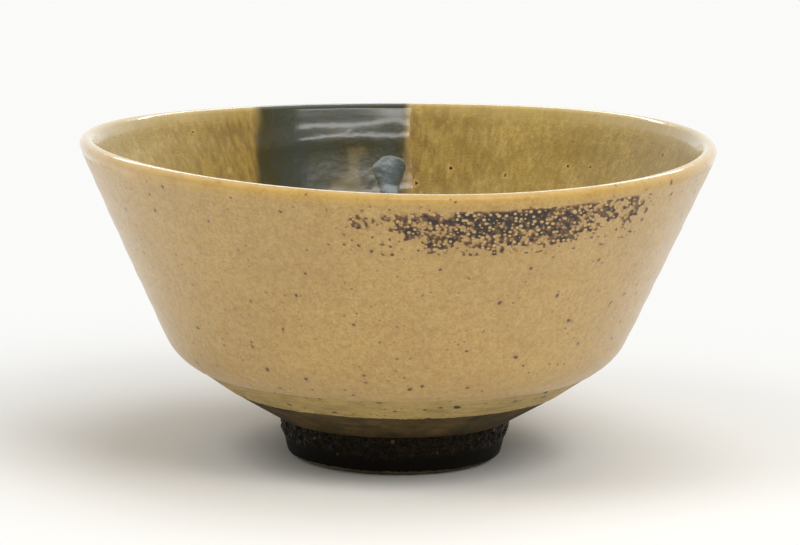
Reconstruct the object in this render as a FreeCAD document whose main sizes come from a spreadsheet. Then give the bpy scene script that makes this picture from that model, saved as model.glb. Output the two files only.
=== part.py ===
import FreeCAD, Part
import math
import os
import Sketcher

# A wheel-thrown tea bowl: a stoneware wall on a luted foot ring, and the fired coats that lie on it.
# Millimetres, +Z up, the origin at the middle of the face that the foot stands on, front towards -Y.

doc = FreeCAD.newDocument("matcha_bowl")


# ---------------------------------------------------------------- driving sizes

sizes = doc.addObject("Spreadsheet::Sheet", "sizes")

DRIVING_SIZES = [
    # the clay wall, outside
    ("rim_radius", 74.1, "outer corner of the lip"),
    ("bowl_height", 74.0, "top of the clay lip above the table"),
    ("hip_radius", 52.1, "where the wall's cone and the underside's upper cone would meet"),
    ("hip_height", 25.95, "height of that meeting"),
    ("hip_round", 15.5, "rounding of the hip"),
    ("under_radius", 38.2, "where the underside grows a little steeper"),
    ("under_height", 16.3, "height of that bend"),
    # the clay wall, inside
    ("lip_thickness", 2.6, "clay across the lip, level"),
    ("lip_round", 0.95, "rounding of both lip edges"),
    ("hip_wall", 7.5, "level distance from the outer hip corner to the inner one"),
    ("hip_floor", 4.2, "inner hip corner below the outer one"),
    ("inside_round", 30.0, "rounding between inner wall and floor"),
    ("floor_thickness", 7.0, "clay at the middle of the floor"),
    # the foot ring
    ("foot_height", 9.5, "table to the seat of the bowl on the ring"),
    ("foot_radius", 26.6, "ring outside, at its top"),
    ("foot_base_radius", 24.3, "ring outside, at the table, before rounding"),
    ("foot_edge_round", 3.0, "rounding of the outer bottom edge"),
    ("foot_bore_radius", 16.5, "ring inside, at its top"),
    ("foot_mouth_radius", 17.5, "ring inside, at the table"),
    ("foot_mouth_round", 0.8, "rounding of the inner bottom edge"),
    ("recess_height", 6.0, "clear height under the bowl inside the ring"),
    # the fired coats
    ("glaze_thickness", 0.5, "ochre, olive and amber glaze"),
    ("hem_thickness", 0.35, "thin khaki edge of the ochre glaze"),
    ("wash_thickness", 0.2, "iron slip on the underside"),
    ("crust_thickness", 0.4, "dark crust on the foot ring"),
    ("pour_thickness", 0.4, "blue-green pour over the olive glaze"),
    ("drip_thickness", 0.3, "blue drip over the pour"),
    ("splash_thickness", 0.3, "iron splash over the ochre glaze"),
    # where the coats begin and end
    ("lip_band", 2.4, "amber band below the top of the clay lip"),
    ("hem_height", 22.2, "lower edge of the ochre glaze"),
    ("line_height", 16.8, "lower edge of the khaki hem"),
    ("bare_foot", 1.2, "bare clay between the table and the crust"),
    # the pour inside the back wall, three runs side by side, seen from the front; depths are from the lip
    ("pour_left", 25.0, "middle of the left run, left of the bowl's middle"),
    ("pour_middle", 13.0, "middle of the middle run, left of the bowl's middle"),
    ("pour_right", 3.0, "middle of the right run, left of the bowl's middle"),
    ("pour_wide", 10.0, "half the width of the left run"),
    ("pour_narrow", 6.5, "half the width of the middle run and of the right run"),
    ("pour_short", 22.0, "down to where the left run begins to round off"),
    ("pour_long", 29.0, "down to where the middle run begins to round off"),
    ("pour_mean", 25.0, "down to where the right run begins to round off"),
    ("drip_radius", 4.4, "half the width of the blue drip on the right run"),
    ("drip_start", 12.0, "down to the top of the drip"),
    ("drip_end", 18.0, "down to where the drip begins to round off"),
    # the iron splash on the front wall, seen from the front
    ("splash_left", 3.0, "middle of the left round end"),
    ("splash_right", 41.0, "middle of the right round end"),
    ("splash_drop", 8.4, "from the top of the clay lip down to the middle of the splash"),
    ("splash_half", 4.4, "half the height of the splash"),
]

for row, (alias, value, meaning) in enumerate(DRIVING_SIZES, start=1):
    sizes.set(f"A{row}", meaning)
    sizes.set(f"B{row}", str(value))
    sizes.setAlias(f"B{row}", alias)
doc.recompute()


# ---------------------------------------------------------------- sketching and turning

AXIS = None
SHARP = None
ORIGIN = -1
VERTICAL_AXIS = -2
START, END = 1, 2
HOLLOW_ROUNDINGS = ("inside_round",)


def constrain(sketch, *details):
    return sketch.addConstraint(Sketcher.Constraint(*details))


def bind(sketch, index, expression):
    sketch.setExpression(f"Constraints[{index}]", expression)


def total(aliases):
    """The sum of some sizes, as an expression and as a number."""
    expression = " + ".join(f"sizes.{alias}" for alias in aliases)
    return expression, sum(sizes.get(alias) for alias in aliases)


def add_corner(sketch, across, up):
    """Adds a construction point whose place follows the sheet."""
    point = sketch.addGeometry(Part.Point(FreeCAD.Vector(1, 1, 0)), True)
    if across is AXIS:
        constrain(sketch, "PointOnObject", point, START, VERTICAL_AXIS)
    else:
        bind(sketch, constrain(sketch, "DistanceX", ORIGIN, START, point, START, 1.0), across)
    bind(sketch, constrain(sketch, "DistanceY", ORIGIN, START, point, START, 1.0), up)
    return point


def meeting(before, corner, after, growth):
    """Where the two sides of a corner meet once both have moved outwards by growth."""
    side_in = (corner - before).normalize()
    side_out = (after - corner).normalize()
    outward_in = FreeCAD.Vector(side_in.y, -side_in.x, 0)
    outward_out = FreeCAD.Vector(side_out.y, -side_out.x, 0)
    return corner + (outward_in + outward_out) * (growth / (1 + outward_in.dot(outward_out)))


def meeting_axis(corner, side, growth):
    """Where a side that ends on the axis meets it, once it has moved outwards by growth."""
    return corner + FreeCAD.Vector(0, -growth * side.Length / side.x, 0)


def rounded_ends(before, corner, after, radius):
    """An arc that rounds a corner: its first, middle and last point."""
    back = (before - corner).normalize()
    forth = (after - corner).normalize()
    reach = radius / math.tan(back.getAngle(forth) / 2)
    bisector = (back + forth).normalize()
    middle = corner + bisector * (math.hypot(reach, radius) - radius)
    return corner + back * reach, middle, corner + forth * reach


def draw_outline(sketch, corners, growth):
    """Draws a closed outline through corners of (across, up, rounding), all bound to the sheet.

    Each side lies to the right of its two corners, as one walks the outline, by growth, a list of
    sizes to add up. So one outline can follow another at an even distance.
    """
    count = len(corners)
    grown_expression, grown = total(growth)
    points = [add_corner(sketch, across, up) for across, up, rounding in corners]
    doc.recompute()
    places = [FreeCAD.Vector(sketch.getPoint(point, START)) for point in points]

    bends, radii = [], []
    for i, (across, up, rounding) in enumerate(corners):
        before, after = places[i - 1], places[(i + 1) % count]
        if across is not AXIS:
            bends.append(meeting(before, places[i], after, grown))
        elif corners[i - 1][0] is AXIS:
            bends.append(meeting_axis(places[i], after - places[i], grown))
        else:
            bends.append(meeting_axis(places[i], places[i] - before, grown))
        change = -grown if rounding in HOLLOW_ROUNDINGS else grown
        radii.append(0 if rounding is SHARP else sizes.get(rounding) + change)
    ends = []
    for i in range(count):
        if radii[i]:
            ends.append(rounded_ends(bends[i - 1], bends[i], bends[(i + 1) % count], radii[i]))
        else:
            ends.append((bends[i], bends[i], bends[i]))

    lines = []
    for i in range(count):
        j = (i + 1) % count
        line = sketch.addGeometry(Part.LineSegment(ends[i][2], ends[j][0]))
        lines.append(line)
        along_axis = corners[i][0] is AXIS and corners[j][0] is AXIS
        for point in (points[i], points[j]):
            if along_axis or not growth:
                constrain(sketch, "PointOnObject", point, START, line)
            else:
                bind(sketch, constrain(sketch, "Distance", point, START, line, grown), grown_expression)

    for i, (across, up, rounding) in enumerate(corners):
        if rounding is SHARP:
            constrain(sketch, "Coincident", lines[i - 1], END, lines[i], START)
            continue
        first, middle, last = ends[i]
        arc = sketch.addGeometry(Part.Arc(first, middle, last))
        from_start = (sketch.getPoint(arc, START) - first).Length
        from_end = (sketch.getPoint(arc, END) - first).Length
        arc_in, arc_out = (START, END) if from_start < from_end else (END, START)
        constrain(sketch, "Tangent", lines[i - 1], END, arc, arc_in)
        constrain(sketch, "Tangent", arc, arc_out, lines[i], START)
        sign = "-" if rounding in HOLLOW_ROUNDINGS else "+"
        change = f" {sign} ({grown_expression})" if growth else ""
        bind(sketch, constrain(sketch, "Radius", arc, radii[i]), f"sizes.{rounding}{change}")
    doc.recompute()


def new_sketch(body, name):
    """A sketch on the body's own XZ plane: across is X and up is Z."""
    sketch = body.newObject("Sketcher::SketchObject", name)
    plane = [part for part in body.Origin.OriginFeatures if part.Role == "XZ_Plane"][0]
    sketch.AttachmentSupport = [(plane, "")]
    sketch.MapMode = "FlatFace"
    return sketch


def turn(name, corners, growth=()):
    """A body turned about the Z axis from an outline."""
    body = doc.addObject("PartDesign::Body", name)
    sketch = new_sketch(body, f"{name}_outline")
    draw_outline(sketch, corners, growth)
    revolution = body.newObject("PartDesign::Revolution", f"{name}_turned")
    revolution.Profile = sketch
    revolution.ReferenceAxis = (sketch, ["V_Axis"])
    revolution.Angle = 360
    doc.recompute()
    return body


# ---------------------------------------------------------------- the clay

OUTER_CORNERS = [
    (AXIS, "sizes.recess_height", SHARP),
    ("sizes.foot_bore_radius", "sizes.recess_height", SHARP),
    ("sizes.foot_bore_radius", "sizes.foot_height", SHARP),
    ("sizes.foot_radius", "sizes.foot_height", SHARP),
    ("sizes.under_radius", "sizes.under_height", SHARP),
    ("sizes.hip_radius", "sizes.hip_height", "hip_round"),
    ("sizes.rim_radius", "sizes.bowl_height", "lip_round"),
]
INNER_CORNERS = [
    ("sizes.rim_radius - sizes.lip_thickness", "sizes.bowl_height", "lip_round"),
    ("sizes.hip_radius - sizes.hip_wall", "sizes.hip_height - sizes.hip_floor", "inside_round"),
    (AXIS, "sizes.recess_height + sizes.floor_thickness", SHARP),
]
bowl_body = turn("bowl_body", OUTER_CORNERS + INNER_CORNERS)

FOOT_OUTLINE = [
    ("sizes.foot_mouth_radius", "0", "foot_mouth_round"),
    ("sizes.foot_base_radius", "0", "foot_edge_round"),
    ("sizes.foot_radius", "sizes.foot_height", SHARP),
    ("sizes.foot_bore_radius", "sizes.foot_height", SHARP),
    ("sizes.foot_bore_radius", "sizes.recess_height", SHARP),
]
foot_ring = turn("foot_ring", FOOT_OUTLINE)


# ---------------------------------------------------------------- where each coat lies

LIP_LINE = "sizes.bowl_height - sizes.lip_band"
WIDE = "2 * sizes.rim_radius"
ABOVE = "2 * sizes.bowl_height"

# The clay and its hollow as two closed outlines. Walked this way, both have the air on their right.
LIP = OUTER_CORNERS + INNER_CORNERS
OUTSIDE = OUTER_CORNERS + [(AXIS, "sizes.bowl_height", SHARP)]
INSIDE = [INNER_CORNERS[0][:2] + (SHARP,)] + INNER_CORNERS[1:] + [(AXIS, "sizes.bowl_height", SHARP)]

# How deep the coats lie on the clay, each depth a list of sizes to add up.
CLAY = ()
GLAZED = ("glaze_thickness",)
POURED = GLAZED + ("pour_thickness",)
DRIPPED = POURED + ("drip_thickness",)
SPLASHED = GLAZED + ("splash_thickness",)


def zone_band(name, low, high):
    """A level slice of space, wider than the bowl."""
    band = doc.addObject("Part::Cylinder", name)
    band.setExpression("Radius", WIDE)
    band.setExpression("Height", f"({high}) - ({low})")
    band.setExpression("Placement.Base.z", low)
    return band


def zone_run(name, middle, half_width, start, end):
    """Behind the XZ plane: an upright strip with a round lower end, for glaze that ran down.

    It starts and ends at these depths below the top of the clay lip.
    """
    strip = doc.addObject("Part::Box", f"{name}_strip")
    strip.setExpression("Length", f"2 * sizes.{half_width}")
    strip.setExpression("Width", WIDE)
    strip.setExpression("Height", f"sizes.{end} - sizes.{start}")
    strip.setExpression("Placement.Base.x", f"-sizes.{middle} - sizes.{half_width}")
    strip.setExpression("Placement.Base.z", f"sizes.bowl_height - sizes.{end}")
    tip = doc.addObject("Part::Cylinder", f"{name}_tip")
    tip.Placement.Rotation = FreeCAD.Rotation(FreeCAD.Vector(1, 0, 0), -90)
    tip.setExpression("Radius", f"sizes.{half_width}")
    tip.setExpression("Height", WIDE)
    tip.setExpression("Placement.Base.x", f"-sizes.{middle}")
    tip.setExpression("Placement.Base.z", f"sizes.bowl_height - sizes.{end}")
    return [strip, tip]


def fuse(name, shapes):
    joined = doc.addObject("Part::MultiFuse", name)
    joined.Shapes = shapes
    joined.Refine = True
    return joined


def cut(name, base, tool):
    rest = doc.addObject("Part::Cut", name)
    rest.Base = base
    rest.Tool = tool
    return rest


def skin(name, outline, under, over):
    """The layer over the clay between two depths of coat."""
    lower = turn(f"{name}_under", outline, under)
    upper = turn(f"{name}_over", outline, over)
    return cut(f"{name}_skin", lower, upper) if outline is INSIDE else cut(f"{name}_skin", upper, lower)


def coat(name, layer, zones):
    """The part of a layer that lies inside every zone."""
    piece = doc.addObject("Part::MultiCommon", name)
    piece.Shapes = [layer] + zones
    return piece


# ---------------------------------------------------------------- the coats on the wall

lip_glaze = coat("lip_glaze", skin("lip", LIP, CLAY, GLAZED), [
    zone_band("lip_zone", LIP_LINE, ABOVE),
])

inner_glaze = coat("inner_glaze", skin("inner", INSIDE, CLAY, GLAZED), [
    zone_band("inner_zone", "0", LIP_LINE),
])

outer_glaze = coat("outer_glaze", skin("outer", OUTSIDE, CLAY, GLAZED), [
    zone_band("outer_zone", "sizes.hem_height", LIP_LINE),
])

glaze_hem = coat("glaze_hem", skin("hem", OUTSIDE, CLAY, ("hem_thickness",)), [
    zone_band("hem_zone", "sizes.line_height", "sizes.hem_height"),
])

iron_wash = coat("iron_wash", skin("wash", OUTSIDE, CLAY, ("wash_thickness",)), [
    zone_band("wash_zone", "sizes.foot_height", "sizes.line_height"),
])


# ---------------------------------------------------------------- the crust on the foot ring

foot_middle = doc.addObject("Part::Cylinder", "foot_middle")
foot_middle.setExpression("Radius", "(sizes.foot_mouth_radius + sizes.foot_base_radius) / 2")
foot_middle.setExpression("Height", WIDE)
crust_band = zone_band("crust_band", "sizes.bare_foot", "sizes.foot_height")
foot_glaze = coat("foot_glaze", skin("crust", FOOT_OUTLINE, CLAY, ("crust_thickness",)), [
    cut("crust_zone", crust_band, foot_middle),
])


# ---------------------------------------------------------------- the pour, its drip and the splash

pour_runs = []
for run, half_width, end in (
    ("pour_left", "pour_wide", "pour_short"),
    ("pour_middle", "pour_narrow", "pour_long"),
    ("pour_right", "pour_narrow", "pour_mean"),
):
    pour_runs += zone_run(run, run, half_width, "lip_band", end)
blue_green_pour = coat(
    "blue_green_pour",
    skin("pour", INSIDE, GLAZED, POURED),
    [fuse("pour_zone", pour_runs)],
)

drip_run = zone_run("drip", "pour_right", "drip_radius", "drip_start", "drip_end")
blue_drip = coat(
    "blue_drip",
    skin("drip", INSIDE, POURED, DRIPPED),
    [fuse("drip_zone", drip_run)],
)

splash_parts = []
for end in ("splash_left", "splash_right"):
    tip = doc.addObject("Part::Cylinder", f"{end}_tip")
    tip.Placement.Rotation = FreeCAD.Rotation(FreeCAD.Vector(1, 0, 0), 90)
    tip.setExpression("Radius", "sizes.splash_half")
    tip.setExpression("Height", WIDE)
    tip.setExpression("Placement.Base.x", f"sizes.{end}")
    tip.setExpression("Placement.Base.z", "sizes.bowl_height - sizes.splash_drop")
    splash_parts.append(tip)
splash_strip = doc.addObject("Part::Box", "splash_strip")
splash_strip.setExpression("Length", "sizes.splash_right - sizes.splash_left")
splash_strip.setExpression("Width", WIDE)
splash_strip.setExpression("Height", "2 * sizes.splash_half")
splash_strip.setExpression("Placement.Base.x", "sizes.splash_left")
splash_strip.setExpression("Placement.Base.y", f"-({WIDE})")
splash_strip.setExpression("Placement.Base.z", "sizes.bowl_height - sizes.splash_drop - sizes.splash_half")
splash_parts.append(splash_strip)
iron_splash = coat(
    "iron_splash",
    skin("splash", OUTSIDE, GLAZED, SPLASHED),
    [fuse("splash_zone", splash_parts)],
)


# ---------------------------------------------------------------- checking and writing

NODES = [
    bowl_body, foot_ring,
    outer_glaze, inner_glaze, lip_glaze, glaze_hem, iron_wash, foot_glaze,
    blue_green_pour, blue_drip, iron_splash,
]

doc.recompute()
for item in doc.Objects:
    if "Invalid" in item.State or "Error" in item.State:
        raise RuntimeError(f"{item.Name} failed: {item.State}")
for node in NODES:
    node.Label = node.Name
    node.Placement = FreeCAD.Placement()
    shape = node.Shape
    if shape.isNull() or not shape.isValid() or len(shape.Solids) != 1:
        raise RuntimeError(f"{node.Label} is not one valid solid")

os.makedirs("parts", exist_ok=True)
for node in NODES:
    node.Shape.exportStep(f"parts/{node.Label}.step")
    box = node.Shape.optimalBoundingBox(True, False)
    print(f"{node.Label}: {node.Shape.Volume:.0f} mm3, z {box.ZMin:.2f} to {box.ZMax:.2f}, "
          f"x {box.XMin:.2f} to {box.XMax:.2f}")
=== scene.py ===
import math

import bmesh
import bpy
import numpy as np
from mathutils import Matrix, Vector


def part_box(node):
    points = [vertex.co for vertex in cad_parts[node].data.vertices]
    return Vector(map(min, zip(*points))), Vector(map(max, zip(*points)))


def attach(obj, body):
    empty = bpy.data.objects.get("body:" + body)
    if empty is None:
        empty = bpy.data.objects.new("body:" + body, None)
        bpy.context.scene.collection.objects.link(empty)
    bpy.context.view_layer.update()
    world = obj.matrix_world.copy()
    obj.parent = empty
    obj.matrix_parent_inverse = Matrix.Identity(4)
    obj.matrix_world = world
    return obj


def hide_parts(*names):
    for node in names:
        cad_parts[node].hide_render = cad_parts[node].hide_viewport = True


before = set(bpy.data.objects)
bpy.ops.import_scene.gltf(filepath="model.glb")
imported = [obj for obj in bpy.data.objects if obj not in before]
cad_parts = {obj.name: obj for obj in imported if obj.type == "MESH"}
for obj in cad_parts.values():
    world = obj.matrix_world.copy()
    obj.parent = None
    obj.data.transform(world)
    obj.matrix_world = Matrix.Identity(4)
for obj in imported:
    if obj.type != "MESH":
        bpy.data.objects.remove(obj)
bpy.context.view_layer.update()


# ---- The thrown wall -------------------------------------------------------------------------
# A cone-walled bowl of dark stoneware, thrown on a wheel, with a tight hip above a low underside.
# The fingers leave shallow spiral rings, and the lip swings up and down by about a millimetre.

MM = 0.001
LIP_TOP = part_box("bowl_body")[1][2]
FLOOR_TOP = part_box("inner_glaze")[0][2]
RECESS_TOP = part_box("bowl_body")[0][2]
FOOT_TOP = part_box("foot_ring")[1][2]
FOOT_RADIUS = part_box("foot_ring")[1][0]

RIM_RADIUS = 74.1 * MM
LIP_THICKNESS = 2.6 * MM
LIP_ROUND = 1.25 * MM
HIP = (52.1 * MM, 25.95 * MM)
HIP_ROUND = 15.5 * MM
UNDERSIDE_BEND = (38.2 * MM, 16.3 * MM)
UNDERSIDE_ROUND = 60.0 * MM
INNER_HIP = (44.6 * MM, 21.75 * MM)
INNER_ROUND = 30.0 * MM
BORE_RADIUS = 16.5 * MM


def rounded_path(corners, arc_steps=24):
    """Points along straight runs and the arcs that round their corners of (across, up, radius)."""
    path = []
    for i, (across, up, radius) in enumerate(corners):
        corner = Vector((across, up))
        if not radius:
            path.append(corner)
            continue
        back = (Vector(corners[i - 1][:2]) - corner).normalized()
        forth = (Vector(corners[i + 1][:2]) - corner).normalized()
        half_angle = back.angle(forth) / 2
        centre = corner + (back + forth).normalized() * (radius / math.sin(half_angle))
        first = corner + back * (radius / math.tan(half_angle)) - centre
        last = corner + forth * (radius / math.tan(half_angle)) - centre
        sweep = first.angle_signed(last)
        for k in range(arc_steps + 1):
            path.append(centre + Matrix.Rotation(-sweep * k / arc_steps, 2) @ first)
    return np.array([(point.x, point.y) for point in path])


class Path:
    """A line in the half plane (radius, height), measured along itself, with the air on its left."""

    def __init__(self, points):
        self.points = points
        self.run = np.concatenate([[0], np.cumsum(np.hypot(*np.diff(points, axis=0).T))])
        self.length = self.run[-1]

    def place(self, s):
        return np.interp(s, self.run, self.points[:, 0]), np.interp(s, self.run, self.points[:, 1])

    def normal(self, s, reach=0.3 * MM):
        r0, z0 = self.place(np.clip(s - reach, 0, self.length))
        r1, z1 = self.place(np.clip(s + reach, 0, self.length))
        size = np.hypot(r1 - r0, z1 - z0)
        return -(z1 - z0) / size, (r1 - r0) / size

    def where(self, height, after=0.0):
        """The distance along the path at which it first crosses a height, past a given distance."""
        s = np.linspace(after, self.length, 8001)
        z = self.place(s)[1]
        crossing = np.nonzero((z[:-1] - height) * (z[1:] - height) <= 0)[0][0]
        return s[crossing]


# One line runs from the middle of the floor up the inside, over the lip and down to the foot.
wall = Path(rounded_path([
    (0, FLOOR_TOP, 0),
    (*INNER_HIP, INNER_ROUND),
    (RIM_RADIUS - LIP_THICKNESS, LIP_TOP, LIP_ROUND),
    (RIM_RADIUS, LIP_TOP, LIP_ROUND),
    (*HIP, HIP_ROUND),
    (*UNDERSIDE_BEND, UNDERSIDE_ROUND),
    (FOOT_RADIUS, FOOT_TOP, 0),
]))
CREST = wall.run[np.argmax(wall.points[:, 1])] + (LIP_THICKNESS - 2 * LIP_ROUND) / 2
CLAY_COLUMNS = 256


def new_piece(name, vertices, faces):
    mesh = bpy.data.meshes.new(name)
    mesh.from_pydata([tuple(v) for v in vertices], [], [tuple(f) for f in faces])
    mesh.polygons.foreach_set("use_smooth", [True] * len(mesh.polygons))
    piece = bpy.data.objects.new(name, mesh)
    bpy.context.scene.collection.objects.link(piece)
    return piece


def turned_grid(radius, height, angle):
    """Space points for arrays of radius, height and angle; angle 0 is the front, 90 degrees is +X."""
    return np.stack([radius * np.sin(angle), -radius * np.cos(angle), height], -1).reshape(-1, 3)


def around(columns):
    return np.linspace(0, 2 * math.pi, columns, endpoint=False)


def grid_faces(index, closed):
    """Quads of a grid of vertex numbers, column by column, with the air on the viewer's side."""
    here = index if closed else index[:-1]
    beside = np.roll(index, -1, axis=0) if closed else index[1:]
    quads = np.stack([here[:, :-1], here[:, 1:], beside[:, 1:], beside[:, :-1]], -1)
    return quads.reshape(-1, 4)


def weld(piece):
    """Joins the vertices that share a place, so that a grid's pole is closed."""
    work = bmesh.new()
    work.from_mesh(piece.data)
    bmesh.ops.remove_doubles(work, verts=work.verts, dist=1e-7)
    work.to_mesh(piece.data)
    work.free()


def turned_solid(name, outline, columns, closes_on_axis=True):
    """A solid turned about the Z axis from an outline that ends on the axis or closes on itself."""
    rows = len(outline)
    height = np.broadcast_to(outline[None, :, 1], (columns, rows))
    vertices = turned_grid(outline[None, :, 0], height, around(columns)[:, None])
    index = np.arange(columns * rows).reshape(columns, rows)
    if not closes_on_axis:
        index = np.concatenate([index, index[:, :1]], axis=1)
    piece = new_piece(name, vertices, grid_faces(index, closed=True))
    weld(piece)
    return piece


def put(tree, kind, inputs=None, **settings):
    """Adds a node to a tree; inputs maps a socket's name or number to a value or an output."""
    node = tree.nodes.new(kind)
    for setting, value in settings.items():
        setattr(node, setting, value)
    for socket, value in (inputs or {}).items():
        if isinstance(value, bpy.types.NodeSocket):
            tree.links.new(value, node.inputs[socket])
        else:
            node.inputs[socket].default_value = value
    return node


def maths(tree, operation, first, second=0.0, third=0.0):
    return put(tree, "ShaderNodeMath", {0: first, 1: second, 2: third}, operation=operation).outputs[0]


def times(tree, first, second):
    return maths(tree, "MULTIPLY", first, second)


def fade(tree, value, start, end, low=0.0, high=1.0):
    """A smooth step from low to high while value goes from start to end."""
    inputs = {"Value": value, "From Min": start, "From Max": end, "To Min": low, "To Max": high}
    return put(tree, "ShaderNodeMapRange", inputs, interpolation_type="SMOOTHSTEP").outputs[0]


def noise(tree, place, scale, detail=2.0, seed=0.0):
    inputs = {"Vector": place, "W": seed, "Scale": scale, "Detail": detail}
    return put(tree, "ShaderNodeTexNoise", inputs, noise_dimensions="4D").outputs[0]


def from_axis(tree, x, y):
    """The distance from the bowl's axis."""
    squares = [times(tree, side, side) for side in (x, y)]
    return maths(tree, "SQRT", maths(tree, "ADD", *squares))


def new_tree(name, kind, numbers, extra=()):
    """A node group with number inputs of given defaults, and its input node's outputs."""
    tree = bpy.data.node_groups.new(name, kind)
    for socket_name, socket_type in extra:
        tree.interface.new_socket(socket_name, in_out="INPUT", socket_type=socket_type)
    for socket_name, value in numbers.items():
        socket = tree.interface.new_socket(socket_name, in_out="INPUT", socket_type="NodeSocketFloat")
        socket.default_value = value
    return tree, put(tree, "NodeGroupInput").outputs


def geometry_tree(name, numbers):
    extra = (("Geometry", "NodeSocketGeometry"), ("Material", "NodeSocketMaterial"))
    tree, given = new_tree(name, "GeometryNodeTree", numbers, extra)
    tree.interface.new_socket("Geometry", in_out="OUTPUT", socket_type="NodeSocketGeometry")
    return tree, given


def close_tree(tree, given, geometry):
    """Ends a geometry tree in real, painted faces."""
    real = put(tree, "GeometryNodeRealizeInstances", {0: geometry}).outputs[0]
    painted = put(tree, "GeometryNodeSetMaterial", {0: real, "Material": given["Material"]}).outputs[0]
    put(tree, "NodeGroupOutput", {0: painted})
    return tree


def along_normal(tree, distance):
    normal = put(tree, "GeometryNodeInputNormal").outputs[0]
    return put(tree, "ShaderNodeVectorMath", {0: normal, "Scale": distance}, operation="SCALE").outputs[0]


def thrown_by_hand():
    """Geometry Nodes: finger rings in a spiral, soft swells, a swinging lip, glaze relief and pits."""
    tree, given = geometry_tree("thrown_by_hand", {
        "Ring pitch": 6.5 * MM, "Ring depth": 0.1 * MM,
        "Swell": 0.5 * MM, "Rim swing": 1.1 * MM, "Rim tilt": 1.0 * MM,
        "Relief": 0.0, "Relief size": 2 * MM, "Pit depth": 0.0, "Pit spacing": 6 * MM, "Seed": 1.0,
    })
    place = put(tree, "GeometryNodeInputPosition").outputs[0]
    x, y, z = put(tree, "ShaderNodeSeparateXYZ", {0: place}).outputs
    outward = put(tree, "ShaderNodeVectorMath", {
        0: put(tree, "ShaderNodeCombineXYZ", {0: x, 1: y, 2: 0.0}).outputs[0],
    }, operation="NORMALIZE").outputs[0]
    out_x, out_y, _ = put(tree, "ShaderNodeSeparateXYZ", {0: outward}).outputs
    angle = maths(tree, "ARCTAN2", out_x, times(tree, out_y, -1.0))

    # rings: a spiral wave, strongest on the wall, gone at the lip and at the foot
    turns = maths(tree, "DIVIDE", z, given["Ring pitch"])
    rise = times(tree, z, 60.0)
    round_place = put(tree, "ShaderNodeCombineXYZ", {0: out_x, 1: out_y, 2: rise}).outputs[0]
    drift = noise(tree, round_place, 1.1, 1.0, given["Seed"])
    phase = maths(tree, "ADD", times(tree, turns, 2 * math.pi), angle)
    phase = maths(tree, "MULTIPLY_ADD", drift, 9.0, phase)
    on_wall = times(tree, fade(tree, z, 14 * MM, 30 * MM), fade(tree, z, 72 * MM, 66 * MM))
    rings = times(tree, maths(tree, "SINE", phase), given["Ring depth"])
    rings = times(tree, rings, on_wall)

    # swells: long soft bumps, the same in every coat, and a wall a little out of round
    bumps = noise(tree, place, 38.0, 1.0, 4.0)
    swell = times(tree, maths(tree, "SUBTRACT", bumps, 0.5), given["Swell"])
    swell = times(tree, swell, fade(tree, z, 10 * MM, 26 * MM))

    # relief and pits of the glaze itself, smoothed out where it is thin over the lip
    grain = noise(tree, place, maths(tree, "DIVIDE", 1.0, given["Relief size"]), 2.0)
    relief = times(tree, maths(tree, "SUBTRACT", grain, 0.5), given["Relief"])
    cells = put(tree, "ShaderNodeTexVoronoi", {
        "Vector": place, "Scale": maths(tree, "DIVIDE", 1.0, given["Pit spacing"])}).outputs
    chosen = put(tree, "FunctionNodeSeparateColor", {0: cells["Color"]}).outputs[0]
    pit_size = times(tree, fade(tree, chosen, 0.62, 1.0), 0.13)
    pit = fade(tree, maths(tree, "SUBTRACT", cells["Distance"], pit_size), 0.0, -0.1)
    pits = times(tree, pit, given["Pit depth"])
    fine = times(tree, maths(tree, "SUBTRACT", relief, pits), fade(tree, z, 72 * MM, 69 * MM))

    # swing: the lip rises and falls twice on its way round, and leans a little
    swing = maths(tree, "SINE", maths(tree, "MULTIPLY_ADD", angle, 2.0, -2.11))
    swing = times(tree, swing, given["Rim swing"])
    swing = maths(tree, "MULTIPLY_ADD", out_y, given["Rim tilt"], swing)
    lift = times(tree, swing, fade(tree, z, 35 * MM, 75 * MM))
    sideways = put(tree, "ShaderNodeVectorMath", {
        0: outward, "Scale": maths(tree, "ADD", rings, swell)}, operation="SCALE").outputs[0]
    shift = put(tree, "ShaderNodeVectorMath", {
        0: sideways, 1: put(tree, "ShaderNodeCombineXYZ", {2: lift}).outputs[0]}).outputs[0]
    shift = put(tree, "ShaderNodeVectorMath", {0: shift, 1: along_normal(tree, fine)}).outputs[0]
    moved = put(tree, "GeometryNodeSetPosition", {
        "Geometry": given["Geometry"], "Offset": shift}).outputs[0]
    return close_tree(tree, given, moved)


THROWN = thrown_by_hand()
OUTER_RINGS = {"Ring pitch": 6.5 * MM, "Ring depth": 0.06 * MM, "Seed": 3.0}


def grow(piece, tree, values):
    """Runs a Geometry Nodes tree on a piece and keeps the result as the piece's plain mesh."""
    modifier = piece.modifiers.new(tree.name, "NODES")
    modifier.node_group = tree
    for item in tree.interface.items_tree:
        if item.in_out == "INPUT" and item.name in values:
            modifier[item.identifier] = values[item.name]
    done = piece.evaluated_get(bpy.context.evaluated_depsgraph_get())
    mesh = bpy.data.meshes.new_from_object(done)
    piece.modifiers.clear()
    piece.data = mesh
    mesh.polygons.foreach_set("use_smooth", [True] * len(mesh.polygons))


def belongs(piece, node):
    """The piece stands for a CAD node, hides that node's part, and never moves by itself."""
    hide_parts(node)
    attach(piece, "root")


def linear(red, green, blue):
    """A colour as the eye grades it, from 0 to 255, as the amounts of light that shaders use."""
    shares = (red / 255, green / 255, blue / 255)
    return tuple(c / 12.92 if c <= 0.04045 else ((c + 0.055) / 1.055) ** 2.4 for c in shares)


def new_material(name, roughness, **constants):
    """A material with one Principled BSDF; constants are values set on its own sockets."""
    material = bpy.data.materials.new(name)
    material.use_nodes = True
    shader = material.node_tree.nodes["Principled BSDF"]
    shader.inputs["Roughness"].default_value = roughness
    for socket, value in constants.items():
        shader.inputs[socket.replace("_", " ")].default_value = value
    return material, material.node_tree, shader


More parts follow.
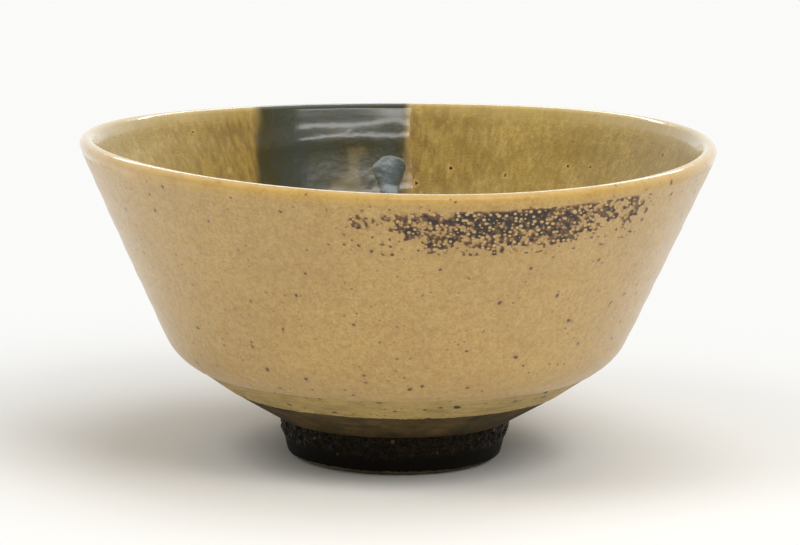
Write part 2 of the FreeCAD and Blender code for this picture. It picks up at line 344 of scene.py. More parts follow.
def blend(tree, mask, first, second, share=1.0):
    """Mixes two colours, or a colour into an earlier mix, by a mask or by a share of it."""
    if share < 1.0:
        mask = times(tree, mask, share)
    node = put(tree, "ShaderNodeMix", {0: mask}, data_type="RGBA")
    for socket, value in ((node.inputs[6], first), (node.inputs[7], second)):
        if isinstance(value, bpy.types.NodeSocket):
            tree.links.new(value, socket)
        else:
            socket.default_value = (*value, 1.0)
    return node.outputs[2]


def own_place(tree):
    """Where a point lies in the object's own coordinates, as a place and as x, y and z."""
    place = put(tree, "ShaderNodeTexCoord").outputs["Object"]
    return place, put(tree, "ShaderNodeSeparateXYZ", {0: place}).outputs


def effect(name, numbers, build):
    """A shader group; build gets its tree, the object's own coordinates and the inputs."""
    tree, given = new_tree(name, "ShaderNodeTree", numbers)
    results = build(tree, *own_place(tree), given)
    for output in results:
        tree.interface.new_socket(output, in_out="OUTPUT", socket_type="NodeSocketFloat")
    put(tree, "NodeGroupOutput", results)
    return tree


def use(tree, group, **values):
    """Places a shader group in a material with its own values."""
    inputs = {name.replace("_", " "): value for name, value in values.items()}
    return put(tree, "ShaderNodeGroup", inputs, node_tree=group).outputs


def build_mottle(tree, place, _, given):
    scale = maths(tree, "DIVIDE", 1.0, given["Size"])
    broad = noise(tree, place, scale, 3.0, given["Seed"])
    grain = noise(tree, place, times(tree, scale, 7.0), 4.0, given["Seed"])
    return {"Broad": fade(tree, broad, 0.34, 0.66), "Grain": fade(tree, grain, 0.38, 0.62)}


def build_streaks(tree, _, xyz, given):
    x, y, z = xyz
    radius = maths(tree, "MAXIMUM", from_axis(tree, x, y), 1 * MM)
    wound = put(tree, "ShaderNodeCombineXYZ", {
        0: times(tree, maths(tree, "DIVIDE", x, radius), given["Round"]),
        1: times(tree, maths(tree, "DIVIDE", y, radius), given["Round"]),
        2: times(tree, maths(tree, "ADD", z, radius), given["Along"]),
    }).outputs[0]
    streak = fade(tree, noise(tree, wound, 1.0, 3.0, given["Seed"]), 0.34, 0.66)
    # the streaks die out towards the axis, where they would close into a star
    swing = maths(tree, "SUBTRACT", streak, 0.5)
    return {"Streak": maths(tree, "MULTIPLY_ADD", swing, fade(tree, radius, 10 * MM, 30 * MM), 0.5)}


def build_specks(tree, place, _, given):
    scale = maths(tree, "DIVIDE", 1.0, given["Spacing"])
    wobble = put(tree, "ShaderNodeTexNoise", {
        "Vector": place, "Scale": 900.0, "Detail": 2.0}).outputs["Color"]
    flat = put(tree, "ShaderNodeCombineXYZ", {0: 1.0, 1: 1.0, 2: given["Flatness"]}).outputs[0]
    flattened = put(tree, "ShaderNodeVectorMath", {0: place, 1: flat}, operation="MULTIPLY").outputs[0]
    bent = put(tree, "ShaderNodeVectorMath", {
        0: wobble, 1: (1.1 * MM, 1.1 * MM, 1.1 * MM), 2: flattened}, operation="MULTIPLY_ADD").outputs[0]
    cells = put(tree, "ShaderNodeTexVoronoi", {"Vector": bent, "Scale": scale}).outputs
    chance = put(tree, "ShaderNodeSeparateColor", {0: cells["Color"]}).outputs
    kept = maths(tree, "GREATER_THAN", given["Share"], chance[0])
    reach = times(tree, maths(tree, "MULTIPLY_ADD", chance[1], 0.8, 0.3), given["Size"])
    distance = times(tree, cells["Distance"], given["Spacing"])
    share = maths(tree, "DIVIDE", distance, reach)
    speck = times(tree, fade(tree, share, 1.0, 0.6), kept)
    halo = times(tree, fade(tree, share, 2.6, 0.9), kept)
    return {"Speck": speck, "Halo": halo}


MOTTLE = effect("kiln_mottle", {"Size": 12 * MM, "Seed": 0.0}, build_mottle)
STREAKS = effect("wheel_and_run_streaks", {"Round": 20.0, "Along": 40.0, "Seed": 0.0}, build_streaks)
SPECKS = effect("burst_iron_specks", {
    "Spacing": 5 * MM, "Size": 0.4 * MM, "Share": 0.5, "Flatness": 1.0}, build_specks)


def roughen(tree, shader, height, strength, distance):
    """Small relief in the shading alone, from a mask."""
    bump = put(tree, "ShaderNodeBump", {"Height": height, "Strength": strength, "Distance": distance})
    tree.links.new(bump.outputs[0], shader.inputs["Normal"])


CLAY_BUFF = linear(138, 118, 86)
CLAY_BROWN = linear(96, 80, 56)
CLAY_DARK = linear(58, 48, 34)

clay_material, tree, shader = new_material("bare_stoneware", 0.85)
cloud = use(tree, MOTTLE, Size=9 * MM, Seed=2.0)
lines = use(tree, STREAKS, Round=3.0, Along=900.0, Seed=1.0)
grit = use(tree, SPECKS, Spacing=2.2 * MM, Size=0.25 * MM, Share=0.5)
colour = blend(tree, cloud["Broad"], CLAY_BUFF, CLAY_BROWN)
colour = blend(tree, lines["Streak"], colour, CLAY_BROWN, share=0.35)
colour = blend(tree, grit["Speck"], colour, CLAY_DARK, share=0.8)
tree.links.new(colour, shader.inputs["Base Color"])
roughen(tree, shader, maths(tree, "ADD", lines["Streak"], cloud["Grain"]), 0.5, 0.25 * MM)

SEAT = np.array([(BORE_RADIUS, FOOT_TOP), (BORE_RADIUS, RECESS_TOP), (0, RECESS_TOP)])
bowl_body = turned_solid("bowl_body_clay", np.concatenate([wall.points, SEAT]), CLAY_COLUMNS)
grow(bowl_body, THROWN, OUTER_RINGS | {"Material": clay_material})
belongs(bowl_body, "bowl_body")


# ---- The foot ring ---------------------------------------------------------------------------
# A tapered ring of the same clay, luted on and turned true. Its outer bottom edge is well rounded,
# and the flat face inside that edge is bare where the bowl stands.

FOOT_BASE_RADIUS = 24.3 * MM
FOOT_EDGE_ROUND = 3.0 * MM
FOOT_MOUTH_RADIUS = 17.5 * MM
FOOT_MOUTH_ROUND = 0.8 * MM

foot_path = Path(rounded_path([
    (BORE_RADIUS, FOOT_TOP, 0),
    (FOOT_RADIUS, FOOT_TOP, 0),
    (FOOT_BASE_RADIUS, 0, FOOT_EDGE_ROUND),
    (FOOT_MOUTH_RADIUS, 0, FOOT_MOUTH_ROUND),
    (BORE_RADIUS, RECESS_TOP, 0),
]))

foot_ring = turned_solid("foot_ring_clay", foot_path.points, CLAY_COLUMNS, closes_on_axis=False)
foot_ring.data.materials.append(clay_material)
belongs(foot_ring, "foot_ring")


# ---- The iron wash on the underside ----------------------------------------------------------
# A brushed slip of iron and clay between the foot and the glaze. It fired dry and brown-black,
# and the turning tool's fine lines show through it.

LINE_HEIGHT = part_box("iron_wash")[1][2]
WASH_THICKNESS = 0.2 * MM
WASH_BEAD = 0.4 * MM
WASH_COLUMNS = 512
UNDERLAP = 1.0 * MM
UNDER_ROWS = 17
FOOT_EDGE = wall.length
LINE = wall.where(LINE_HEIGHT, after=CREST)


def wavering(angle, seed, amount, first=2, last=60, evenness=0.8):
    """A closed wavy line round the bowl: sines of random phase, the finer the smaller."""
    rng = np.random.default_rng(seed)
    line = np.zeros_like(angle)
    for turns in range(first, last):
        line += np.sin(turns * angle + rng.uniform(0, 2 * math.pi)) * rng.uniform(0.3, 1) / turns**evenness
    return amount * line / np.abs(line).max()


def bead(run, size):
    """How full a coat is at a distance from its edge, round like a bead, from 0 to 1."""
    return np.sqrt(1 - (1 - np.clip(run / size, 0, 1)) ** 2)


def sunk(run, reach):
    """How deep a coat has dived under its neighbour: 1 at its hidden end, 0 from reach on."""
    return np.clip(1 - run / reach, 0, 1) ** 2


def spread(first, last, rows, fine_rows=0, fine_run=0.0):
    """Rows between two lines, one distance for each angle, with more rows near the last line."""
    share = np.linspace(0, 1, rows)
    s = first[:, None] + (last - first)[:, None] * share
    if not fine_rows:
        return s
    s = first[:, None] + (last - fine_run - first)[:, None] * share
    fine = last[:, None] - fine_run * np.linspace(1, 0, fine_rows + 1)[None, 1:] ** 1.6
    return np.concatenate([s, fine], axis=1)


def lay_coat(name, path, angle, s, depth, under=0.0, closed=True, pole=False, **attributes):
    """A coat on the clay: an outer face at given depths, an under face, and the edges between.

    s and depth hold one value for each angle and row; attributes are stored on the outer face.
    """
    def face(s, depth):
        radius, height = path.place(s)
        across, up = path.normal(s)
        return turned_grid(radius + across * depth, height + up * depth, angle[:, None])

    columns, rows = s.shape
    kept = np.unique(np.linspace(0, rows - 1, UNDER_ROWS).astype(int))
    top = np.arange(columns * rows).reshape(columns, rows)
    bottom = columns * rows + np.arange(columns * len(kept)).reshape(columns, len(kept))
    vertices = np.concatenate([face(s, depth), face(s[:, kept], under + 0 * s[:, kept])])
    section = [top, bottom[:, ::-1]] if pole else [bottom[:, :1], top, bottom[:, ::-1]]
    faces = list(grid_faces(np.concatenate(section, axis=1), closed))
    if not closed:
        faces.append(np.concatenate([bottom[0], top[0][::-1]]))
        faces.append(np.concatenate([top[-1], bottom[-1][::-1]]))
    piece = new_piece(name, vertices, faces)
    for attribute, values in attributes.items():
        layer = piece.data.attributes.new(attribute, "FLOAT", "POINT")
        layer.data.foreach_set("value", np.concatenate([values.ravel(), values[:, kept].ravel()]))
    if pole:
        weld(piece)
    return piece


def stored(tree, attribute):
    return put(tree, "ShaderNodeAttribute", attribute_name=attribute).outputs["Fac"]


WASH_BROWN = linear(62, 52, 27)
WASH_PALE = linear(112, 91, 52)
WASH_BLACK = linear(28, 22, 12)

wash_material, tree, shader = new_material("iron_wash", 0.75, Specular_IOR_Level=0.2)
cloud = use(tree, MOTTLE, Size=16 * MM, Seed=5.0)
lines = use(tree, STREAKS, Round=2.5, Along=1300.0, Seed=3.0)
colour = blend(tree, cloud["Broad"], WASH_BROWN, WASH_PALE)
colour = blend(tree, lines["Streak"], colour, WASH_BROWN, share=0.45)
colour = blend(tree, cloud["Grain"], colour, WASH_BLACK, share=0.35)
tree.links.new(colour, shader.inputs["Base Color"])
roughen(tree, shader, maths(tree, "ADD", lines["Streak"], cloud["Grain"]), 0.6, 0.2 * MM)

angle = around(WASH_COLUMNS)
s = spread(np.full(WASH_COLUMNS, LINE - UNDERLAP), np.full(WASH_COLUMNS, FOOT_EDGE), rows=26)
depth = WASH_THICKNESS * bead(FOOT_EDGE - s, WASH_BEAD)
iron_wash = lay_coat("iron_wash_coat", wall, angle, s, depth)
grow(iron_wash, THROWN, OUTER_RINGS | {
    "Relief": 0.06 * MM, "Relief size": 3 * MM, "Material": wash_material})
belongs(iron_wash, "iron_wash")


# ---- The khaki hem ---------------------------------------------------------------------------
# Where the dipped glaze ended it is thin, dull and khaki. Its lower edge is ragged and pitted,
# and the clay shows dark through small gaps.

HEM_THICKNESS = 0.35 * MM
HEM_BEAD = 0.4 * MM
HEM_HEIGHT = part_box("outer_glaze")[0][2]
HEM = wall.where(HEM_HEIGHT, after=CREST)
HEM_COLUMNS = 900

KHAKI = linear(182, 154, 88)
KHAKI_PALE = linear(198, 173, 112)
KHAKI_DEEP = linear(150, 124, 62)
PIT_BLACK = linear(34, 20, 10)
PIT_BROWN = linear(92, 60, 22)

hem_material, tree, shader = new_material("khaki_hem", 0.5)
cloud = use(tree, MOTTLE, Size=7 * MM, Seed=7.0)
wiped = use(tree, STREAKS, Round=9.0, Along=700.0, Seed=6.0)
small = use(tree, SPECKS, Spacing=1.8 * MM, Size=0.5 * MM, Share=0.45, Flatness=2.5)
large = use(tree, SPECKS, Spacing=3.4 * MM, Size=1.1 * MM, Share=0.4, Flatness=2.5)
edge = stored(tree, "edge")
colour = blend(tree, cloud["Broad"], KHAKI, KHAKI_DEEP)
colour = blend(tree, wiped["Streak"], colour, KHAKI_PALE, share=0.6)
colour = blend(tree, cloud["Grain"], colour, KHAKI_DEEP, share=0.3)
colour = blend(tree, small["Speck"], colour, PIT_BROWN, share=0.75)
colour = blend(tree, large["Speck"], colour, PIT_BLACK)
# darker brown over the last half millimetre above the hem's lower edge
colour = blend(tree, fade(tree, edge, 0.45, 0.0), colour, PIT_BROWN)
tree.links.new(colour, shader.inputs["Base Color"])
roughen(tree, shader, maths(tree, "SUBTRACT", cloud["Grain"], large["Halo"]), 0.5, 0.25 * MM)

hem_angle = around(HEM_COLUMNS)
hem_line = HEM + wavering(hem_angle, 11, 0.55 * MM, last=90)
lower_line = LINE + wavering(hem_angle, 12, 0.5 * MM, last=40)
lower_line = lower_line + wavering(hem_angle, 13, 0.3 * MM, first=40, last=330, evenness=0.3)
s = spread(hem_line - UNDERLAP, lower_line, 34, fine_rows=4, fine_run=HEM_BEAD)
depth = HEM_THICKNESS * bead(lower_line[:, None] - s, HEM_BEAD)
edge = (lower_line[:, None] - s) / MM
glaze_hem = lay_coat("glaze_hem_coat", wall, hem_angle, s, depth, edge=edge)
grow(glaze_hem, THROWN, OUTER_RINGS | {
    "Relief": 0.08 * MM, "Relief size": 1.5 * MM, "Pit depth": 0.25 * MM, "Pit spacing": 5 * MM,
    "Material": hem_material})
belongs(glaze_hem, "glaze_hem")


# ---- The ochre glaze outside -----------------------------------------------------------------
# A thick oatmeal-ochre glaze, half matt, mottled with fine grain and pierced by small brown pits.
# It ends in a soft bead over the hem and runs on under the amber lip.

GLAZE_THICKNESS = 0.5 * MM
LIP_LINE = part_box("lip_glaze")[0][2]
LIP_LINE_OUTSIDE = wall.where(LIP_LINE, after=CREST)
LIP_LINE_INSIDE = wall.where(LIP_LINE)
DIVE = 0.25 * MM
GLAZE_COLUMNS = 720
GLAZE_BEAD = 0.7 * MM

OCHRE = linear(201, 163, 81)
OCHRE_PALE = linear(222, 190, 122)
OCHRE_DEEP = linear(158, 118, 52)
AMBER = linear(204, 166, 92)
AMBER_DEEP = linear(174, 124, 42)


def build_lip(tree, place, xyz, given):
    x, y, z = xyz
    uneven = maths(tree, "MULTIPLY_ADD", noise(tree, place, 90.0, 3.0), 3 * MM, z)
    return {
        "Lip": fade(tree, uneven, given["Below"], given["Above"]),
        "Outside": fade(tree, from_axis(tree, x, y), RIM_RADIUS - 1.9 * MM, RIM_RADIUS - 0.7 * MM),
    }


LIP_GATHER = effect("glaze_thin_on_the_lip", {"Below": 71 * MM, "Above": 75 * MM}, build_lip)


def ochre_colour(tree):
    """The ochre glaze with its mottle, grain and pits, turning amber towards the lip."""
    cloud = use(tree, MOTTLE, Size=20 * MM, Seed=9.0)
    clots = use(tree, MOTTLE, Size=5 * MM, Seed=3.0)
    sand = use(tree, MOTTLE, Size=1.6 * MM, Seed=13.0)
    small = use(tree, SPECKS, Spacing=1.9 * MM, Size=0.42 * MM, Share=0.55)
    large = use(tree, SPECKS, Spacing=3.2 * MM, Size=0.62 * MM, Share=0.5)
    lip = use(tree, LIP_GATHER, Below=70.5 * MM, Above=74.5 * MM)["Lip"]
    gathered = times(tree, lip, maths(tree, "MULTIPLY_ADD", clots["Broad"], 0.65, 0.35))
    colour = blend(tree, cloud["Broad"], OCHRE, OCHRE_DEEP, share=0.3)
    colour = blend(tree, clots["Broad"], colour, OCHRE_PALE, share=0.15)
    colour = blend(tree, clots["Grain"], colour, OCHRE_DEEP, share=0.5)
    colour = blend(tree, sand["Broad"], colour, OCHRE_PALE, share=0.3)
    colour = blend(tree, sand["Grain"], colour, OCHRE_DEEP, share=0.35)
    colour = blend(tree, gathered, colour, AMBER)
    colour = blend(tree, small["Speck"], colour, PIT_BROWN, share=0.65)
    colour = blend(tree, large["Halo"], colour, AMBER_DEEP, share=0.3)
    colour = blend(tree, large["Speck"], colour, PIT_BLACK, share=0.9)
    relief = maths(tree, "ADD", sand["Broad"], clots["Grain"])
    relief = maths(tree, "SUBTRACT", relief, times(tree, small["Speck"], 2.0))
    return colour, relief


ochre_material, tree, shader = new_material("ochre_glaze", 0.5, Coat_Weight=1.0, Coat_Roughness=0.3)
colour, relief = ochre_colour(tree)
tree.links.new(colour, shader.inputs["Base Color"])
roughen(tree, shader, relief, 0.55, 0.2 * MM)

OCHRE_RELIEF = {
    "Relief": 0.1 * MM, "Relief size": 2.2 * MM, "Pit depth": 0.22 * MM, "Pit spacing": 7 * MM}
angle = around(GLAZE_COLUMNS)
first_line = np.full(GLAZE_COLUMNS, LIP_LINE_OUTSIDE - UNDERLAP)
last_line = np.interp(angle, hem_angle, hem_line, period=2 * math.pi)
s = spread(first_line, last_line, 108, fine_rows=5, fine_run=GLAZE_BEAD)
depth = GLAZE_THICKNESS * bead(last_line[:, None] - s, GLAZE_BEAD)
depth = depth - DIVE * sunk(s - first_line[:, None], UNDERLAP)
outer_glaze = lay_coat("outer_glaze_coat", wall, angle, s, depth)
grow(outer_glaze, THROWN, OUTER_RINGS | OCHRE_RELIEF | {"Material": ochre_material})
belongs(outer_glaze, "outer_glaze")


# ---- The olive glaze inside ------------------------------------------------------------------
# The same dip fired glossier and greener inside, where it lay thick. It ran in fine streaks,
# boiled in places and left pinholes with amber rims.

OLIVE = linear(190, 162, 82)
OLIVE_PALE = linear(210, 184, 114)
OLIVE_DEEP = linear(142, 114, 38)
OLIVE_BROWN = linear(96, 66, 14)
OLIVE_COLUMNS = 640
INNER_RINGS = {"Ring pitch": 19.1 * MM, "Ring depth": 0.22 * MM, "Seed": 8.0}


def olive_colour(tree):
    """The olive glaze with its clouds, runs and pinholes, turning paler towards the lip."""
    cloud = use(tree, MOTTLE, Size=15 * MM, Seed=12.0)
    clots = use(tree, MOTTLE, Size=4 * MM, Seed=6.0)
    runs = use(tree, STREAKS, Round=42.0, Along=150.0, Seed=4.0)
    dabs = use(tree, STREAKS, Round=75.0, Along=520.0, Seed=14.0)
    pins = use(tree, SPECKS, Spacing=4.2 * MM, Size=0.6 * MM, Share=0.5)
    fine = use(tree, SPECKS, Spacing=1.8 * MM, Size=0.34 * MM, Share=0.45)
    lip = use(tree, LIP_GATHER, Below=71.5 * MM, Above=76.5 * MM)["Lip"]
    _, (x, _, z) = own_place(tree)
    # the glaze lies darker and more streaked high on the wall, on both sides of the pour
    by_pour = times(tree, fade(tree, x, -58 * MM, -38 * MM), fade(tree, x, 34 * MM, 0.0))
    by_pour = times(tree, by_pour, fade(tree, z, 40 * MM, 60 * MM))
    colour = blend(tree, cloud["Broad"], OLIVE, OLIVE_DEEP, share=0.5)
    colour = blend(tree, clots["Broad"], colour, OLIVE_PALE, share=0.4)
    colour = blend(tree, dabs["Streak"], colour, OLIVE_DEEP, share=0.5)
    streaky = times(tree, runs["Streak"], maths(tree, "MULTIPLY_ADD", by_pour, 0.42, 0.2))
    colour = blend(tree, by_pour, colour, OLIVE_DEEP, share=0.5)
    colour = blend(tree, streaky, colour, OLIVE_BROWN)
    colour = blend(tree, clots["Grain"], colour, OLIVE_DEEP, share=0.3)
    colour = blend(tree, lip, colour, OLIVE_PALE, share=0.5)
    colour = blend(tree, pins["Halo"], colour, AMBER, share=0.45)
    colour = blend(tree, fine["Speck"], colour, OLIVE_BROWN, share=0.5)
    colour = blend(tree, pins["Speck"], colour, PIT_BLACK)
    return colour, maths(tree, "SUBTRACT", clots["Grain"], pins["Speck"])


olive_material, tree, shader = new_material("olive_glaze", 0.4, Coat_Weight=0.35, Coat_Roughness=0.2)
colour, relief = olive_colour(tree)
tree.links.new(colour, shader.inputs["Base Color"])
roughen(tree, shader, relief, 0.3, 0.15 * MM)

angle = around(OLIVE_COLUMNS)
last_line = np.full(OLIVE_COLUMNS, LIP_LINE_INSIDE + UNDERLAP)
s = spread(np.zeros(OLIVE_COLUMNS), last_line, 132)
depth = GLAZE_THICKNESS - DIVE * sunk(last_line[:, None] - s, UNDERLAP)
inner_glaze = lay_coat("inner_glaze_coat", wall, angle, s, depth, pole=True)
grow(inner_glaze, THROWN, INNER_RINGS | {
    "Relief": 0.12 * MM, "Relief size": 3 * MM, "Material": olive_material})
belongs(inner_glaze, "inner_glaze")


# ---- The amber glaze on the lip --------------------------------------------------------------
# Over the lip the glaze stretched thin and turned glossy amber. It joins the coats inside and
# outside without a step.

lip_material, tree, shader = new_material("amber_glaze", 0.2, Coat_Roughness=0.05)
outside, relief = ochre_colour(tree)
inside, _ = olive_colour(tree)
gather = use(tree, LIP_GATHER, Below=72.6 * MM, Above=75 * MM)
tree.links.new(blend(tree, gather["Outside"], inside, outside), shader.inputs["Base Color"])
tree.links.new(maths(tree, "MULTIPLY_ADD", gather["Lip"], -0.22, 0.42), shader.inputs["Roughness"])
tree.links.new(maths(tree, "MULTIPLY_ADD", gather["Lip"], 0.65, 0.35), shader.inputs["Coat Weight"])
roughen(tree, shader, relief, 0.1, 0.1 * MM)

first_line = np.full(GLAZE_COLUMNS, LIP_LINE_INSIDE - UNDERLAP)
last_line = np.full(GLAZE_COLUMNS, LIP_LINE_OUTSIDE + UNDERLAP)
s = spread(first_line, last_line, 44)
depth = GLAZE_THICKNESS - DIVE * sunk(s - first_line[:, None], UNDERLAP)
depth = depth - DIVE * sunk(last_line[:, None] - s, UNDERLAP)
lip_glaze = lay_coat("lip_glaze_coat", wall, around(GLAZE_COLUMNS), s, depth)
grow(lip_glaze, THROWN, OUTER_RINGS | OCHRE_RELIEF | {"Material": lip_material})
belongs(lip_glaze, "lip_glaze")


# ---- The blue-green pour ---------------------------------------------------------------------
# A second glaze poured over the back of the lip. It ran down the inside in three tongues, slate
# grey where thick and olive green where it thins out at its edges.

BACK = math.pi
WALL_RADIUS = 70 * MM
POUR_THICKNESS = 0.24 * MM
# each run: how far it lies left of the middle, half its width, and how far down it is straight
POUR_RUNS = (
    (26.2 * MM, 10.6 * MM, 22.0 * MM),
    (13.0 * MM, 6.5 * MM, 29.0 * MM),
    (3.5 * MM, 6.8 * MM, 22.0 * MM),
    (15.75 * MM, 19.25 * MM, 8.0 * MM),
)
POUR_DEEP_RUNS = ((23.5 * MM, 10.0 * MM, 13.0 * MM), (3.0 * MM, 5.6 * MM, 15.0 * MM))
POUR_SHEET = (15.75 * MM, 19.5 * MM, 10.0 * MM)
BEDDED = GLAZE_THICKNESS - 0.3 * MM


def drifting(across, down, seed, size, waves=28):
    """A soft random field over a patch, about -2 to 2, from waves of about one size."""
    rng = np.random.default_rng(seed)
    field = np.zeros_like(across)
    for _ in range(waves):
        heading = rng.uniform(0, 2 * math.pi)
        length = size * rng.uniform(0.6, 1.8)
        field += np.cos((across * math.cos(heading) + down * math.sin(heading)) * 2 * math.pi / length
                        + rng.uniform(0, 2 * math.pi))
    return field / math.sqrt(waves / 2)


def patch(path, middle, left, right, start, end, columns, rows):
    """A grid of angles and distances on a path, with its places across the wall and below the lip.

    middle is the angle of the patch's middle, left and right are its reaches as seen from the front.
    """
    seen = math.cos(middle)
    reach = sorted((-left * seen, right * seen))
    angle = np.linspace(middle + reach[0] / WALL_RADIUS, middle + reach[1] / WALL_RADIUS, columns)
    s = np.broadcast_to(np.linspace(start, end, rows), (columns, rows)).copy()
    radius, height = path.place(s)
    return angle, s, radius * np.sin(angle - middle)[:, None] * seen, LIP_TOP - height


def tongue(across, down, middle, half_width, end):
    """How far inside a run of glaze with a round lower end each place is; negative outside."""
    beyond = np.maximum(down - end, 0)
    return half_width - np.hypot(across + middle, beyond)


def poured(across, down, s):
    """How far inside the pour each place is, and how deep the glaze lies there."""
    inside = np.max([tongue(across, down, *run) for run in POUR_RUNS], axis=0)
    inside = inside + 0.5 * MM * drifting(across, down * 0.5, 21, 9 * MM)
    over_lip = np.clip((CREST + 0.4 * MM - s) / (2 * MM), 0, 1)
    body = POUR_THICKNESS * bead(np.maximum(inside, 0), 6 * MM) ** 2 * over_lip
    return inside, GLAZE_THICKNESS + np.where(inside > 0, body, np.maximum(inside, -0.6 * MM) * 0.2)


angle, s, across, down = patch(wall, BACK, left=46 * MM, right=9 * MM, start=CREST - 42 * MM,
                               end=CREST + 0.6 * MM, columns=260, rows=240)
inside, depth = poured(across, down, s)
sheet_middle, sheet_half, sheet_end = POUR_SHEET
deep = np.minimum(sheet_half - np.abs(across + sheet_middle), sheet_end - down)
deep = np.maximum(deep, np.max([tongue(across, down, *run) for run in POUR_DEEP_RUNS], axis=0))
deep = np.minimum(deep, inside) + 0.6 * MM * drifting(across, down * 0.6, 23, 5 * MM)

POUR_SLATE = linear(50, 55, 46)
POUR_GREY = linear(54, 55, 32)
POUR_GREEN = linear(56, 50, 11)
POUR_KHAKI = linear(96, 84, 42)

pour_material, tree, shader = new_material("blue_green_glaze", 0.3, Coat_Weight=1.0, Coat_Roughness=0.12)
olive, _ = olive_colour(tree)
cloud = use(tree, MOTTLE, Size=9 * MM, Seed=15.0)
runs = use(tree, STREAKS, Round=22.0, Along=45.0, Seed=9.0)
pins = use(tree, SPECKS, Spacing=3.6 * MM, Size=0.6 * MM, Share=0.3)
edge = stored(tree, "edge")
depth_seen = maths(tree, "SUBTRACT", stored(tree, "deep"), 0.8)
depth_seen = maths(tree, "MULTIPLY_ADD", cloud["Broad"], 1.6, depth_seen)
colour = blend(tree, runs["Streak"], POUR_GREY, POUR_SLATE)
colour = blend(tree, cloud["Grain"], colour, POUR_GREEN, share=0.35)
colour = blend(tree, fade(tree, depth_seen, 4.0, 1.2), colour, POUR_GREEN)
colour = blend(tree, fade(tree, depth_seen, 0.9, -1.2), colour, POUR_KHAKI)
colour = blend(tree, fade(tree, edge, 6.5, 2.2), colour, POUR_GREEN)
colour = blend(tree, fade(tree, edge, 2.8, 0.1), colour, olive)
colour = blend(tree, pins["Speck"], colour, PIT_BLACK, share=0.8)
tree.links.new(colour, shader.inputs["Base Color"])
roughen(tree, shader, cloud["Grain"], 0.2, 0.15 * MM)

pour = lay_coat("blue_green_pour_coat", wall, angle, s, depth, BEDDED, closed=False,
                edge=inside / MM, deep=deep / MM)
grow(pour, THROWN, INNER_RINGS | {"Relief": 0.05 * MM, "Relief size": 3 * MM, "Material": pour_material})
belongs(pour, "blue_green_pour")


# ---- The blue drip ---------------------------------------------------------------------------
# One drop of slate-blue glaze that slid down the right-hand tongue of the pour and froze there. It
# is broad at the shoulders and narrows as it runs.

DRIP_MIDDLE = 2.2 * MM
DRIP_TOP = 12.0 * MM
DRIP_END = 22.4 * MM
DRIP_HALF_WIDTH = 5.2 * MM
DRIP_TAPER = 0.34
DRIP_SHOULDER = 3.5 * MM
DRIP_THICKNESS = 0.1 * MM

DRIP_BLUE = linear(66, 80, 82)
DRIP_DEEP = linear(42, 52, 50)

drip_material, tree, shader = new_material("blue_glaze", 0.25, Coat_Weight=0.7, Coat_Roughness=0.1)
cloud = use(tree, MOTTLE, Size=4 * MM, Seed=18.0)
edge = stored(tree, "edge")
colour = blend(tree, cloud["Broad"], DRIP_BLUE, DRIP_DEEP)
colour = blend(tree, fade(tree, edge, 2.4, 0.0), colour, POUR_GREY)
tree.links.new(colour, shader.inputs["Base Color"])
roughen(tree, shader, cloud["Grain"], 0.15, 0.1 * MM)

angle, s, across, down = patch(wall, BACK, left=9 * MM, right=5 * MM, start=CREST - 28 * MM,
                               end=CREST - 8 * MM, columns=100, rows=140)
_, depth = poured(across, down, s)
slid = down - DRIP_TOP
half_width = DRIP_HALF_WIDTH * bead(np.maximum(slid, 0), DRIP_SHOULDER) - DRIP_TAPER * slid
inside = np.minimum(half_width - np.abs(across + DRIP_MIDDLE), np.minimum(slid, DRIP_END - down))
inside = inside + 0.12 * MM * drifting(across, down, 25, 4 * MM)
body = bead(np.maximum(inside, 0), 3 * MM) ** 2 * DRIP_THICKNESS
depth = depth + np.where(inside > 0, body, np.maximum(inside, -0.6 * MM) * 0.25)
drip = lay_coat("blue_drip_coat", wall, angle, s, depth, BEDDED, closed=False, edge=inside / MM)
grow(drip, THROWN, INNER_RINGS | {"Relief": 0.05 * MM, "Relief size": 3 * MM, "Material": drip_material})
belongs(drip, "blue_drip")


# ---- The iron splash -------------------------------------------------------------------------
# Iron slip flicked on the front under the lip. It boiled in the kiln and froze as a dark net
# full of burst bubbles, dense in the middle and scattered towards both ends.

FRONT = 0.0
SPLASH_THICKNESS = 0.2 * MM
SPLASH_BED = GLAZE_THICKNESS - 0.35 * MM
BUBBLE = 1.15 * MM
# in millimetres right of the front and below the lip: points of the upper edge, and for each clot
# its middle, its half sizes and how much slip it holds
SPLASH_TOP = ((-6, 4.6), (10, 4.0), (30, 3.7), (60, 3.5))
SPLASH_CLOTS = (
    (23.0, 6.0, 11.0, 2.8, 1.25),
    (20.5, 10.2, 4.5, 2.6, 1.0),
    (34.5, 9.3, 4.5, 3.4, 1.05),
    (24.0, 8.5, 15.0, 5.0, 0.8),
    (4.5, 7.0, 5.5, 3.6, 0.78),
    (9.5, 12.0, 3.4, 2.6, 0.72),
    (40.0, 5.6, 6.5, 2.8, 0.85),
    (48.5, 6.4, 5.5, 3.4, 0.55),
    (26.0, 12.5, 9.0, 2.0, 0.5),
    (-8.0, 7.5, 2.0, 2.0, 0.5),
)

SPLASH_BLACK = linear(36, 24, 16)
SPLASH_BROWN = linear(108, 76, 42)
SPLASH_TAN = linear(176, 142, 92)
BUBBLE_SKIN = linear(204, 170, 112)

